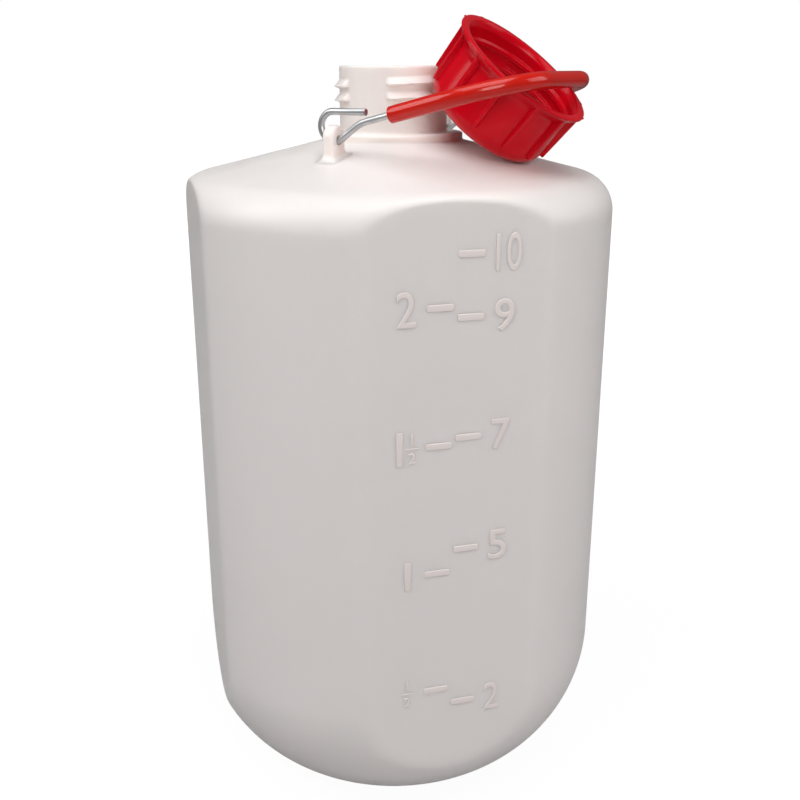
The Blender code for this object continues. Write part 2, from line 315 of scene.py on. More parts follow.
def block(centre: Sequence[float], size: Sequence[float]) -> Object:
    """Add a box and enter edit mode on it.

    Args:
        centre: Its middle.
        size: Its lengths along X, Y and Z.

    Returns:
        The box.
    """
    bpy.ops.object.select_all(action="DESELECT")
    bpy.ops.mesh.primitive_cube_add(size=1, location=centre, scale=size)
    box = bpy.context.object
    settle(box)
    edit(box)
    return box


def turned(name: str, path: Sequence[Vector], steps: int) -> Object:
    """Draw a profile by extruding one vertex along it, and spin it round the Z axis.

    Args:
        name: The piece's name.
        path: The profile's points, in the XZ plane.
        steps: How many steps one turn takes.

    Returns:
        The turned object, at the origin.
    """
    bpy.ops.object.select_all(action="DESELECT")
    bpy.ops.mesh.primitive_plane_add(size=POINT_SIZE, location=path[0])
    obj = named(name)
    bpy.ops.object.transform_apply(location=True, rotation=False, scale=False)
    bpy.ops.object.mode_set(mode="EDIT")
    bpy.ops.mesh.select_mode(type=Kind.VERT.value)
    bpy.ops.mesh.select_all(action="SELECT")
    bpy.ops.mesh.merge(type="CENTER")
    for start, end in zip(path, path[1:]):
        bpy.ops.mesh.extrude_region_move(TRANSFORM_OT_translate={"value": end - start})
    bpy.ops.mesh.select_all(action="SELECT")
    bpy.ops.mesh.spin(steps=steps, angle=math.tau, center=(0, 0, 0), axis=(0, 0, 1))
    merge_doubles()
    leave()
    return obj


def shift_vertices(obj: Object, shape: Callable[[np.ndarray], np.ndarray]) -> None:
    """Move all the vertices of a mesh at once.

    Args:
        obj: The object to shape.
        shape: Takes the vertices' places, one row each, and returns their new places.
    """
    places = np.empty(len(obj.data.vertices) * 3)
    obj.data.vertices.foreach_get("co", places)
    obj.data.vertices.foreach_set("co", shape(places.reshape(-1, 3)).ravel())
    obj.data.update()


def apply_modifiers(obj: Object) -> None:
    """Apply every modifier of an object, in order.

    Args:
        obj: The object that carries them.
    """
    pick(obj)
    for modifier in list(obj.modifiers):
        bpy.ops.object.modifier_apply(modifier=modifier.name)


def boolean(obj: Object, other: Object, merger: Merger) -> None:
    """Join an object with another one, or cut it, and delete the other one.

    Args:
        obj: The object that stays.
        other: The one that is added or cut away.
        merger: Which of the two it is.
    """
    modifier = obj.modifiers.new(merger.name, "BOOLEAN")
    modifier.operation = merger.value
    modifier.object = other
    modifier.solver = "EXACT"
    apply_modifiers(obj)
    bpy.data.objects.remove(other, do_unlink=True)


def soften(obj: Object, width: float, segments: int = 3) -> None:
    """Round an object's hard edges.

    Args:
        obj: The object to round.
        width: How wide the rounding is.
        segments: How many faces it takes.
    """
    modifier = obj.modifiers.new("soften", "BEVEL")
    modifier.width = width
    modifier.segments = segments
    modifier.limit_method = "ANGLE"
    modifier.angle_limit = HARD_EDGE
    apply_modifiers(obj)


def join(objects: Sequence[Object], name: str) -> Object:
    """Join objects into one, and merge the vertices that they share.

    Args:
        objects: What to join.
        name: The name of the result.

    Returns:
        The joined object.
    """
    pick(*objects)
    bpy.ops.object.join()
    obj = named(name)
    edit(obj)
    merge_doubles()
    leave()
    return obj


def settle(obj: Object, place: Matrix | None = None) -> None:
    """Move an object to its place and write the place into its mesh, so that its origin is the world's.

    Args:
        obj: The object to move.
        place: Where it goes, or None where it already is there.
    """
    if place is not None:
        obj.matrix_world = place @ obj.matrix_world
    pick(obj)
    bpy.ops.object.transform_apply(location=True, rotation=True, scale=True)


def smooth(obj: Object, angle: float = SOFT_EDGE) -> None:
    """Shade an object smooth, apart from the edges that are sharper than an angle."""
    pick(obj)
    bpy.ops.object.shade_smooth_by_angle(angle=angle)


def tube(name: str, path: Sequence[Vector], radius: float, sides: int, filled: bool) -> Object:
    """Run a round tube along a path.

    Args:
        name: The piece's name.
        path: The tube's centre line.
        radius: Its outer radius.
        sides: How many sides it has, an even number.
        filled: Whether its ends are closed.

    Returns:
        The tube as a mesh.
    """
    curve = bpy.data.curves.new(name, "CURVE")
    curve.dimensions = "3D"
    curve.bevel_depth = radius
    curve.bevel_resolution = sides // 2 - 2
    curve.use_fill_caps = filled
    spline = curve.splines.new("POLY")
    spline.points.add(len(path) - 1)
    for knot, point in zip(spline.points, path):
        knot.co = (*point, 1.0)
    obj = bpy.data.objects.new(name, curve)
    bpy.context.scene.collection.objects.link(obj)
    pick(obj)
    bpy.ops.object.convert(target="MESH")
    obj = named(name)
    edit(obj)
    merge_doubles(turn_outwards=False)
    leave()
    return obj


# Finishes


class Graph:
    """A material's node tree, made node by node on the object's own coordinates."""

    def __init__(self, name: str) -> None:
        """Start a material that holds one Principled shader and its output.

        Args:
            name: The material's name.
        """
        self.material = bpy.data.materials.new(name)
        self.material.use_nodes = True
        self.tree = self.material.node_tree
        self.shader = self.tree.nodes["Principled BSDF"]
        self.coordinates = self.add("ShaderNodeTexCoord").outputs["Object"]

    def add(
        self, kind: str, inputs: dict[str | int, object] | None = None, **settings: object
    ) -> bpy.types.Node:
        """Add a node.

        Args:
            kind: The node's type name.
            inputs: Values or output sockets for its inputs.
            settings: Values for its own properties.

        Returns:
            The node.
        """
        node = self.tree.nodes.new(kind)
        for name, value in settings.items():
            setattr(node, name, value)
        for name, value in (inputs or {}).items():
            self.feed(node.inputs[name], value)
        return node

    def feed(self, socket: NodeSocket, value: object) -> None:
        """Give an input socket a value or a link.

        Args:
            socket: The input.
            value: A plain value, or the output of another node.
        """
        if isinstance(value, NodeSocket):
            self.tree.links.new(value, socket)
        else:
            socket.default_value = value

    def noise(self, scale: float, detail: float = 2.0, vector: NodeSocket | None = None) -> NodeSocket:
        """Add a noise.

        Args:
            scale: How fine it is.
            detail: How many finer layers it has.
            vector: Where it is read, or None for the object's own space.

        Returns:
            Its value, from 0 to 1.
        """
        place = self.coordinates if vector is None else vector
        inputs = {"Vector": place, "Scale": scale, "Detail": detail}
        return self.add("ShaderNodeTexNoise", inputs).outputs["Fac"]

    def ramp(self, value: NodeSocket, source: Span, target: Span = UNIT) -> NodeSocket:
        """Map a value from one span to another, without going past it.

        Args:
            value: The value to map.
            source: The span that it is read in.
            target: The span that it is mapped to.

        Returns:
            The mapped value.
        """
        spans = {"From Min": source[0], "From Max": source[1], "To Min": target[0], "To Max": target[1]}
        return self.add("ShaderNodeMapRange", {"Value": value, **spans}).outputs["Result"]

    def mix(self, factor: NodeSocket, first: object, second: object) -> NodeSocket:
        """Mix two colours.

        Args:
            factor: 0 for the first colour, 1 for the second.
            first: A colour or an output.
            second: A colour or an output.

        Returns:
            The mixed colour.
        """
        node = self.add("ShaderNodeMix", data_type="RGBA")
        self.feed(node.inputs["Factor"], factor)
        self.feed(node.inputs[MIX_FIRST], first)
        self.feed(node.inputs[MIX_SECOND], second)
        return node.outputs[MIX_RESULT]

    def bump(
        self,
        height: NodeSocket,
        distance: float,
        strength: float,
        under: NodeSocket | None = None,
    ) -> NodeSocket:
        """Add a bump, over another one where given.

        Args:
            height: The relief.
            distance: How high a relief of 1 stands.
            strength: How much of it shows.
            under: The bump that it lies on.

        Returns:
            The bent normal.
        """
        node = self.add("ShaderNodeBump", {"Height": height, "Distance": distance, "Strength": strength})
        if under is not None:
            self.feed(node.inputs["Normal"], under)
        return node.outputs["Normal"]

    def finish(self, **inputs: object) -> Material:
        """Feed the shader's inputs.

        Args:
            inputs: A value or an output for each, named with underscores for spaces.

        Returns:
            The finished material.
        """
        for name, value in inputs.items():
            self.feed(self.shader.inputs[name.replace("_", " ")], value)
        return self.material


@dataclass(frozen=True)
class NaturalPlastic:
    """Unpigmented blown polyethylene: a milky body, a satin face and slow waves from the mould."""

    name: str = "natural_polyethylene"
    colour: Colour = (0.885, 0.80, 0.77, 1.0)
    cloud: Colour = (0.85, 0.79, 0.755, 1.0)
    cloud_scale: float = 7.0
    wave_scale: float = 14.0
    wave_detail: float = 0.0
    wave_height: float = 0.0010
    wave_strength: float = 0.2
    grain_scale: float = 1600.0
    grain_detail: float = 3.0
    grain_height: float = 0.00002
    grain_strength: float = 0.5
    sheen_scale: float = 60.0
    roughness: Span = (0.36, 0.46)
    milkiness: float = 0.75
    depth: float = 0.006
    spread: tuple[float, float, float] = (1.0, 0.92, 0.84)
    refraction: float = 1.5

    def build(self) -> Material:
        """Build the finish.

        Returns:
            Its material.
        """
        graph = Graph(self.name)
        cloud = graph.ramp(graph.noise(self.cloud_scale), NOISE_MIDDLE)
        waves = graph.noise(self.wave_scale, self.wave_detail)
        relief = graph.bump(waves, self.wave_height, self.wave_strength)
        grain = graph.noise(self.grain_scale, self.grain_detail)
        relief = graph.bump(grain, self.grain_height, self.grain_strength, relief)
        return graph.finish(
            Base_Color=graph.mix(cloud, self.colour, self.cloud),
            Roughness=graph.ramp(graph.noise(self.sheen_scale), NOISE_SPREAD, self.roughness),
            Normal=relief,
            Subsurface_Weight=self.milkiness,
            Subsurface_Radius=self.spread,
            Subsurface_Scale=self.depth,
            IOR=self.refraction,
        )


@dataclass(frozen=True)
class RedPlastic:
    """Moulded red plastic: glossy, faintly mottled, with fine handling scratches."""

    name: str
    colour: Colour
    shade: Colour
    roughness: Span
    gloss: float
    detail: float = 3.0
    mottle_scale: float = 45.0
    sheen_scale: float = 160.0
    scratch_scale: float = 900.0
    scratch_stretch: tuple[float, float, float] = (1.0, 1.0, 0.06)
    scratch_depth: float = 0.00001
    scratch_strength: float = 0.3
    glow: float = 0.08
    depth: float = 0.0015
    spread: tuple[float, float, float] = (1.0, 0.15, 0.1)
    refraction: float = 1.5

    def build(self) -> Material:
        """Build the finish.

        Returns:
            Its material.
        """
        graph = Graph(self.name)
        mottle = graph.ramp(graph.noise(self.mottle_scale, self.detail), NOISE_MIDDLE)
        mapping = {"Vector": graph.coordinates, "Scale": self.scratch_stretch}
        stretched = graph.add("ShaderNodeMapping", mapping).outputs["Vector"]
        scratches = graph.noise(self.scratch_scale, vector=stretched)
        return graph.finish(
            Base_Color=graph.mix(mottle, self.colour, self.shade),
            Roughness=graph.ramp(graph.noise(self.sheen_scale, self.detail), NOISE_SPREAD, self.roughness),
            Normal=graph.bump(scratches, self.scratch_depth, self.scratch_strength),
            Subsurface_Weight=self.glow,
            Subsurface_Radius=self.spread,
            Subsurface_Scale=self.depth,
            Specular_IOR_Level=self.gloss,
            IOR=self.refraction,
        )


@dataclass(frozen=True)
class ZincWire:
    """Galvanised wire: grey zinc with duller patches and small dark specks."""

    colour: Colour = (0.59, 0.60, 0.61, 1.0)
    dull: Colour = (0.50, 0.51, 0.52, 1.0)
    speck: Colour = (0.10, 0.10, 0.10, 1.0)
    dull_scale: float = 160.0
    speck_scale: float = 900.0
    speck_span: Span = (0.72, 0.78)
    metal: Span = (1.0, 0.4)
    roughness: Span = (0.38, 0.47)
    grain_depth: float = 0.00001
    grain_strength: float = 0.08

    def build(self) -> Material:
        """Build the finish.

        Returns:
            Its material.
        """
        graph = Graph("galvanised_wire")
        dull = graph.ramp(graph.noise(self.dull_scale), NOISE_MIDDLE)
        specks = graph.ramp(graph.noise(self.speck_scale), self.speck_span)
        zinc = graph.mix(dull, self.colour, self.dull)
        return graph.finish(
            Base_Color=graph.mix(specks, zinc, self.speck),
            Metallic=graph.ramp(specks, UNIT, self.metal),
            Roughness=graph.ramp(dull, UNIT, self.roughness),
            Normal=graph.bump(graph.noise(self.speck_scale), self.grain_depth, self.grain_strength),
        )


@dataclass(frozen=True)
class CutSteel:
    """The bare end that the cutter leaves on the wire."""

    colour: Colour = (0.080, 0.072, 0.070, 1.0)
    rust: Colour = (0.050, 0.038, 0.033, 1.0)
    rust_scale: float = 700.0
    rust_detail: float = 3.0
    rust_span: Span = (0.4, 0.6)
    metal: float = 0.2
    roughness: Span = (0.6, 0.8)
    gloss: float = 0.2
    burr_scale: float = 1500.0
    burr_depth: float = 0.0001
    burr_strength: float = 0.5

    def build(self) -> Material:
        """Build the finish.

        Returns:
            Its material.
        """
        graph = Graph("cut_wire_end")
        patches = graph.ramp(graph.noise(self.rust_scale, self.rust_detail), self.rust_span)
        return graph.finish(
            Base_Color=graph.mix(patches, self.colour, self.rust),
            Metallic=self.metal,
            Roughness=graph.ramp(patches, UNIT, self.roughness),
            Specular_IOR_Level=self.gloss,
            Normal=graph.bump(graph.noise(self.burr_scale), self.burr_depth, self.burr_strength),
        )


@dataclass(frozen=True)
class LinerFoam:
    """White closed-cell foam, its pores darkened with painted shade."""

    colour: Colour = (0.86, 0.86, 0.83, 1.0)
    pore: Colour = (0.72, 0.72, 0.69, 1.0)
    cell_scale: float = 1400.0
    cell_span: Span = (0.0, 0.6)
    roughness: float = 0.8
    pore_depth: float = 0.0001
    pore_strength: float = 0.4

    def build(self) -> Material:
        """Build the finish.

        Returns:
            Its material.
        """
        graph = Graph("liner_foam")
        cells = graph.add("ShaderNodeTexVoronoi", {"Vector": graph.coordinates, "Scale": self.cell_scale})
        pores = graph.ramp(cells.outputs["Distance"], self.cell_span)
        return graph.finish(
            # The pores' darker colour is painted shade in their hollows; the bump gives them their relief.
            Base_Color=graph.mix(pores, self.pore, self.colour),
            Roughness=self.roughness,
            Normal=graph.bump(pores, self.pore_depth, self.pore_strength),
        )


def dress(obj: Object, material: Material, slot: Slot, body: Body, *nodes: str) -> None:
    """Give a finished piece its material and the body that it rides on.

    Args:
        obj: The piece.
        material: Its material.
        slot: Not used.
        body: The body that it moves with.
        nodes: The solids that it stands for.
    """
    if not obj.data.materials:
        obj.data.materials.append(material)
    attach(obj, body.value)
    if nodes:
        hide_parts(*nodes)
    LOG.info("%s: %d faces, on %s", obj.name, len(obj.data.polygons), body.value)


# Bottle


@dataclass
class Bottle:
    """The blown bottle: four flats in a round body, a domed heel and a neck with a broken thread."""

    height: float = 0.380
    radius: float = 0.113
    wall: float = 0.002
    flat_distance: float = 0.1042
    flat_softness: float = 0.0017
    flat_count: int = 4
    first_flat_angle: float = math.radians(-45)
    shoulder_slope: float = math.radians(14)
    shoulder_radius: float = 0.0187
    heel_radius: float = 0.083
    base_radius: float = 0.069
    base_softness: float = 0.008
    push_up_radius: float = 0.056
    push_up_height: float = 0.005
    push_up_softness: float = 0.003
    neck_radius: float = 0.0273
    bore_radius: float = 0.0245
    neck_height: float = 0.032
    rim_softness: float = 0.0009
    collar_radius: float = 0.0355
    collar_height: float = 0.004
    collar_softness: float = 0.0013
    steps: int = 304
    fine_step: float = 0.0022
    corner_step: float = 0.0004
    side_step: float = 0.012
    thread_step: float = 0.00042
    thread_height: float = 0.0028
    thread_pitch: float = 0.0066
    thread_top_flank: float = 0.0034
    thread_bottom_flank: float = 0.0008
    thread_drop: float = 0.0103
    thread_drop_angle_degrees: float = -150.7
    thread_first_degrees: float = -640.0
    thread_last_degrees: float = 100.0
    thread_fade_degrees: float = 9.0
    neck_face_share: float = 0.99
    parting_half_gap_degrees: float = 21.5
    parting_fade_degrees: float = 6.0
    cap_half_gap_degrees: float = 14.0
    cap_fade_degrees: float = 6.0

    @property
    def collar_top(self) -> float:
        """Height of the collar's top face, where the neck starts."""
        return self.height - self.neck_height

    def cone_height(self, radius: float, inset: float = 0.0) -> float:
        """Return the height of the shoulder's cone, or of a surface that lies inset below it."""
        drop = (radius - self.collar_radius) * math.tan(self.shoulder_slope)
        return self.collar_top - self.collar_height - drop - inset / math.cos(self.shoulder_slope)

    def heel(self, inset: float) -> list[Vector]:
        """Draw the heel.

        Args:
            inset: How far inside the outer face it lies.

        Returns:
            Its arc, from the ground to the side.
        """
        reach = self.radius - self.heel_radius
        lift = math.sqrt(self.heel_radius**2 - (self.base_radius - reach) ** 2)
        radius = self.heel_radius - inset
        return arc(at(reach, lift), radius, -math.asin((lift - inset) / radius), 0.0, self.fine_step)

    def shoulder(self, inset: float) -> list[Vector]:
        """Draw the shoulder.

        Args:
            inset: How far inside the outer face it lies.

        Returns:
            Its arc, from the side to the cone.
        """
        reach = self.radius - self.shoulder_radius
        centre = at(reach, self.cone_height(reach, self.shoulder_radius))
        last = math.pi / 2 - self.shoulder_slope
        return arc(centre, self.shoulder_radius - inset, 0.0, last, self.fine_step / 2)

    def foot(self, inset: float) -> list[Corner]:
        """Draw the push-up and the standing ring.

        Args:
            inset: How far inside the outer face they lie.

        Returns:
            Their corners, from the axis outwards.
        """
        shift = inset * math.tan(math.pi / 8)
        inner = self.push_up_radius - self.push_up_height + shift
        return [
            Corner(at(0.0, self.push_up_height + inset)),
            Corner(at(inner, self.push_up_height + inset), self.push_up_softness),
            Corner(at(self.push_up_radius + shift, inset), self.push_up_softness),
        ]

    def outside(self) -> list[Vector]:
        """Draw the outer face.

        Returns:
            Its profile, from the middle of the base to the middle of the rim.
        """
        heel = self.heel(0.0)
        corners = self.foot(0.0) + [Corner(heel[0], self.base_softness)]
        corners += [Corner(point) for point in heel[1:] + self.shoulder(0.0)]
        body = rounded(corners, self.corner_step * 2)
        neck = [
            Corner(body[-1]),
            Corner(at(self.collar_radius, self.cone_height(self.collar_radius)), self.collar_softness),
            Corner(at(self.collar_radius, self.collar_top), self.collar_softness),
            Corner(at(self.neck_radius, self.collar_top), self.collar_softness),
            Corner(at(self.neck_radius, self.height), self.rim_softness),
            Corner(at((self.neck_radius + self.bore_radius) / 2, self.height)),
        ]
        path = body[:-1] + rounded(neck, self.corner_step)
        return divided(path, self.longest_step)

    def longest_step(self, place: Vector) -> float:
        """Return the longest step of the profile at a place: short on the thread, long on the body."""
        on_thread = place.z > self.collar_top and abs(place.x - self.neck_radius) < self.rim_softness / 2
        return self.thread_step if on_thread else self.side_step

    def inside(self) -> list[Vector]:
        """Draw the inner face.

        Returns:
            Its profile, from the middle of the base to the middle of the rim.
        """
        corners = self.foot(self.wall)
        corners += [Corner(point) for point in self.heel(self.wall) + self.shoulder(self.wall)]
        corners += [
            Corner(at(self.bore_radius, self.cone_height(self.bore_radius, self.wall)), self.wall),
            Corner(at(self.bore_radius, self.height), self.rim_softness),
            Corner(at((self.neck_radius + self.bore_radius) / 2, self.height)),
        ]
        path = rounded(corners, self.corner_step * 2)
        return divided(path, lambda place: self.side_step)

    def press_flats(self, places: np.ndarray, distance: float) -> np.ndarray:
        """Press the flats into the round body, with soft creases.

        Args:
            places: The vertices of a turned face.
            distance: How far the flats lie from the axis.

        Returns:
            The pressed places.
        """
        pitch = math.tau / self.flat_count
        angle, radius = polar(places)
        turn = (angle - self.first_flat_angle + pitch / 2) % pitch - pitch / 2
        reach = np.maximum(radius * np.cos(turn), MERGE_DISTANCE)
        return widened(places, soft_min(reach, distance, self.flat_softness) / reach)

    def raise_thread(self, places: np.ndarray) -> np.ndarray:
        """Raise the neck's thread: a buttress ridge, left out at the mould's parting and where the cap leans.

        Args:
            places: The vertices of the outer face.

        Returns:
            The places with the ridge raised.
        """
        angle, radius = polar(places)
        angle = np.degrees(angle)
        turns = math.ceil((self.thread_last_degrees - self.thread_first_degrees) / FULL_TURN_DEGREES)
        half_turn = FULL_TURN_DEGREES / 2
        off_parting = np.abs(angle % half_turn - half_turn / 2) - self.parting_half_gap_degrees
        lift = np.zeros(len(places))
        for turn in range(turns):
            wound = angle - FULL_TURN_DEGREES * turn
            climb = self.thread_pitch * (wound - self.thread_drop_angle_degrees) / FULL_TURN_DEGREES
            above = places[:, 2] - (self.height - self.thread_drop + climb)
            ridge = np.minimum(1 + above / self.thread_bottom_flank, 1 - above / self.thread_top_flank)
            start = (wound - self.thread_first_degrees) / self.thread_fade_degrees
            end = (self.thread_last_degrees - wound) / self.thread_fade_degrees
            lift = np.maximum(lift, np.clip(ridge, 0, 1) * smooth_step(start) * smooth_step(end))
        lift *= smooth_step(off_parting / self.parting_fade_degrees)
        lift *= smooth_step((np.abs(angle) - self.cap_half_gap_degrees) / self.cap_fade_degrees)
        lift *= places[:, 2] > self.collar_top + self.collar_softness
        lift *= radius > self.neck_radius * self.neck_face_share
        return widened(places, 1 + lift * self.thread_height / np.maximum(radius, MERGE_DISTANCE))

    def build(self) -> Object:
        """Turn the two faces, press the flats, raise the thread and close the wall at the rim.

        Returns:
            The bottle, one closed wall.
        """
        outer = turned("bottle_outside", self.outside(), self.steps)
        shift_vertices(outer, lambda places: self.press_flats(places, self.flat_distance))
        shift_vertices(outer, self.raise_thread)
        inner = turned("bottle_inside", self.inside(), self.steps)
        shift_vertices(inner, lambda places: self.press_flats(places, self.flat_distance - self.wall))
        skin = join([outer, inner], "bottle_skin")
        smooth(skin, HARD_EDGE)
        return skin


@dataclass
class Lug:
    """One of the two pierced tabs on the shoulder that carry the bail."""

    bottle: Bottle
    side: int
    distance: float = 0.0565
    thickness: float = 0.006
    width: float = 0.0116
    top_drop: float = 0.0264
    sink: float = 0.0012
    edge_radius: float = 0.0016
    edge_angle: float = math.radians(40)
    edge_segments: int = 5
    crown_share: float = 0.49
    crown_segments: int = 16
    fillet_radius: float = 0.0030
    fillet_steps: int = 7
    hole_radius: float = 0.00215
    hole_drop: float = 0.03335
    hole_softness: float = 0.0004
    hole_sides: int = 36

    @property
    def foot(self) -> float:
        """Height of the shoulder under the middle of the lug."""
        return self.bottle.cone_height(self.distance)

    def build(self) -> Object:
        """Give a box a round crown, soft edges and a filleted foot, and pierce it along X.

        Returns:
            The lug.
        """
        top = self.bottle.height - self.top_drop
        low = self.foot + self.fillet_radius
        block((0, self.side * self.distance, (top + low) / 2), (self.thickness, self.width, top - low))
        lug = named("front_lug" if self.side < 0 else "back_lug")
        bevel_edges(
            lug,
            self.width * self.crown_share,
            self.crown_segments,
            lambda edge: every_vertex(edge, lambda co: co.z > top - self.edge_radius)
            and abs(edge.verts[0].co.y - edge.verts[1].co.y) < self.edge_radius,
        )
        bevel_edges(
            lug,
            self.edge_radius,
            self.edge_segments,
            lambda edge: edge.calc_face_angle(0.0) > self.edge_angle
            and not every_vertex(edge, lambda co: co.z < low + MERGE_DISTANCE),
        )
        self.flare_foot(lug, low)
        leave()
        shift_vertices(lug, self.follow_shoulder)
        boolean(lug, self.hole(), Merger.CUT)
        soften(lug, self.hole_softness)
        smooth(lug)
        return lug

    def flare_foot(self, lug: Object, low: float) -> None:
        """Extrude the bottom face down and out along a fillet, and then into the wall.

        Args:
            lug: The lug in edit mode.
            low: The height of its bottom face.
        """
        select_where(lug, Kind.FACE, lambda face: face.normal.z < -FACING)
        height = low
        grown = 0.0
        for step in range(1, self.fillet_steps + 1):
            turn = math.pi / 2 * step / self.fillet_steps
            drop = low - self.fillet_radius * math.sin(turn)
            growth = self.fillet_radius * (1 - math.cos(turn))
            bpy.ops.mesh.extrude_region_move(TRANSFORM_OT_translate={"value": (0, 0, drop - height)})
            across = (self.thickness / 2 + growth) / (self.thickness / 2 + grown)
            along = (self.width / 2 + growth) / (self.width / 2 + grown)
            bpy.ops.transform.resize(
                value=(across, along, 1), center_override=(0, self.side * self.distance, drop)
            )
            height = drop
            grown = growth
        bpy.ops.mesh.extrude_region_move(TRANSFORM_OT_translate={"value": (0, 0, -self.sink)})

    def follow_shoulder(self, places: np.ndarray) -> np.ndarray:
        """Set the level foot on the sloping shoulder.

        Args:
            places: The lug's vertices.

        Returns:
            The places, lifted or lowered with the shoulder, less so towards the crown.
        """
        rise = 2 * self.fillet_radius
        share = np.clip((self.foot + rise - places[:, 2]) / rise, 0, 1)
        reach = polar(places)[1] - self.distance
        settled = places.copy()
        settled[:, 2] -= share * reach * math.tan(self.bottle.shoulder_slope)
        return settled

    def hole(self) -> Object:
        """Make the cutter for the wire's hole.

        Returns:
            A cylinder along X.
        """
        bpy.ops.object.select_all(action="DESELECT")
        bpy.ops.mesh.primitive_cylinder_add(
            vertices=self.hole_sides,
            radius=self.hole_radius,
            depth=self.thickness * 3,
            location=(0, self.side * self.distance, self.bottle.height - self.hole_drop),
            rotation=(0, math.pi / 2, 0),
        )
        return bpy.context.object


@dataclass
class Marks:
    """The raised level marks on one flat, a bar and a number each: litres at right, gallons at left."""

    bottle: Bottle
    relief: float = 0.00026
    sink: float = 0.0004
    bar_size: tuple[float, float] = (0.0130, 0.0036)
    bar_softness: float = 0.0012
    bar_segments: int = 4
    crest_segments: int = 5
    crest_share: float = 0.9
    bevel_divisor: float = 3.0
    number_softness: float = 0.00045
    number_segments: int = 3
    litre_bar_start: float = 0.0006
    litre_number_start: float = 0.0182
    gallon_bar_start: float = -0.0138
    gallon_number_ends: tuple[float, ...] = (-0.0186, -0.0172, -0.0204, -0.0191)
    fraction_size: tuple[float, float] = (0.0060, 0.0152)
    fraction_gap: float = 0.0012
    fraction_figure_share: float = 0.37
    fraction_lift_share: float = 0.31
    fraction_one_shares: tuple[float, float] = (0.4, 0.22)
    fraction_two_shares: tuple[float, float] = (0.2, 0.6)
    top_litre_drop: float = 0.0780
    litre_spacing: float = 0.02845
    top_gallon_drop: float = 0.1015
    gallon_spacing: float = 0.1302
    litres: tuple[int, ...] = (10, 9, 7, 5, 2)
    gallons: tuple[float, ...] = (2.0, 1.5, 1.0, 0.5)
    litre_sizes: tuple[tuple[float, float], ...] = (
        (0.0122, 0.0170),
        (0.0097, 0.0152),
        (0.0095, 0.0154),
        (0.0097, 0.0158),
        (0.0084, 0.0158),
    )
    gallon_sizes: tuple[tuple[float, float], ...] = ((0.0090, 0.0165), (0.0032, 0.0168), (0.0032, 0.0150))
    made: list[Object] = field(default_factory=list)

    def panel(self) -> Matrix:
        """Find where the marks go.

        Returns:
            The turn from a flat drawing, X right and Y up, to the upright flat of the bottle.
        """
        angle = self.bottle.first_flat_angle
        outward = Vector((math.cos(angle), math.sin(angle), 0))
        across = Vector((-outward.y, outward.x, 0))
        upright = Matrix((across, Vector((0, 0, 1)), outward)).transposed().to_4x4()
        lift = self.bottle.flat_distance - self.sink
        return Matrix.Translation(outward * lift) @ upright

    def bar(self, start: float, height: float, length: float, width: float) -> None:
        """Add a bar that starts at a place across the panel.

        Args:
            start: Where its left end is.
            height: The height of its middle.
            length: How long it is.
            width: How wide it is.
        """
        depth = self.relief + self.sink
        crest = depth * self.crest_share
        widest = width / self.bevel_divisor
        bar = block((start + length / 2, height, depth / 2), (length, width, depth))
        bevel_edges(
            bar,
            min(self.bar_softness, widest),
            self.bar_segments,
            lambda edge: abs(edge.verts[0].co.z - edge.verts[1].co.z) > depth / 2,
        )
        bevel_edges(
            bar,
            min(crest, widest),
            self.crest_segments,
            lambda edge: every_vertex(edge, lambda co: co.z > crest),
        )
        leave()
        self.made.append(bar)

    def number(self, text: str, edge: float, height: float, size: tuple[float, float]) -> None:
        """Add a number.

        Args:
            text: The figures.
            edge: The place of its left edge across the panel.
            height: The height of its middle.
            size: How wide and how tall the figures are.
        """
        bpy.ops.object.select_all(action="DESELECT")
        bpy.ops.object.text_add()
        words = bpy.context.object
        words.data.body = text
        words.data.size = size[1]
        words.data.offset = -self.number_softness / 2
        words.data.bevel_depth = self.number_softness
        words.data.bevel_resolution = self.number_segments
        bpy.ops.object.convert(target="MESH")
        words = bpy.context.object
        low = Vector(words.bound_box[LOW_CORNER])
        high = Vector(words.bound_box[HIGH_CORNER])
        depth = self.relief + self.sink
        scale = Vector((size[0], size[1], depth))
        scale = Vector((scale[i] / (high[i] - low[i]) for i in range(3)))
        words.scale = scale
        words.location = (
            edge - low.x * scale.x,
            height - (low.y + high.y) / 2 * scale.y,
            -low.z * scale.z,
        )
        settle(words)
        self.made.append(words)

    def fraction(self, edge: float, height: float) -> None:
        """Add a one-half set over and under its stroke.

        Args:
            edge: The place of its left edge across the panel.
            height: The height of its stroke.
        """
        width, tall = self.fraction_size
        small = tall * self.fraction_figure_share
        lift = tall * self.fraction_lift_share
        for text, shares, rise in (
            ("1", self.fraction_one_shares, lift),
            ("2", self.fraction_two_shares, -lift),
        ):
            self.number(text, edge + width * shares[0], height + rise, (width * shares[1], small))
        self.bar(edge, height, width, self.sink + self.relief)

    def build(self) -> list[Object]:
        """Make the marks.

        Returns:
            The litre marks and the gallon marks, each as one piece.
        """
        top = self.bottle.height
        length, width = self.bar_size
        for litre, size in zip(self.litres, self.litre_sizes):
            height = top - self.top_litre_drop - (self.litres[0] - litre) * self.litre_spacing
            self.bar(self.litre_bar_start, height, length, width)
            self.number(str(litre), self.litre_number_start, height, size)
        litre_marks = self.gather("litre_marks")
        for index, (gallon, end) in enumerate(zip(self.gallons, self.gallon_number_ends)):
            height = top - self.top_gallon_drop - (self.gallons[0] - gallon) * self.gallon_spacing
            self.bar(self.gallon_bar_start, height, length, width)
            if gallon % 1:
                end -= self.fraction_size[0]
                self.fraction(end, height)
                end -= self.fraction_gap
            if gallon >= 1:
                size = self.gallon_sizes[index]
                self.number(str(int(gallon)), end - size[0], height, size)
        return [litre_marks, self.gather("gallon_marks")]

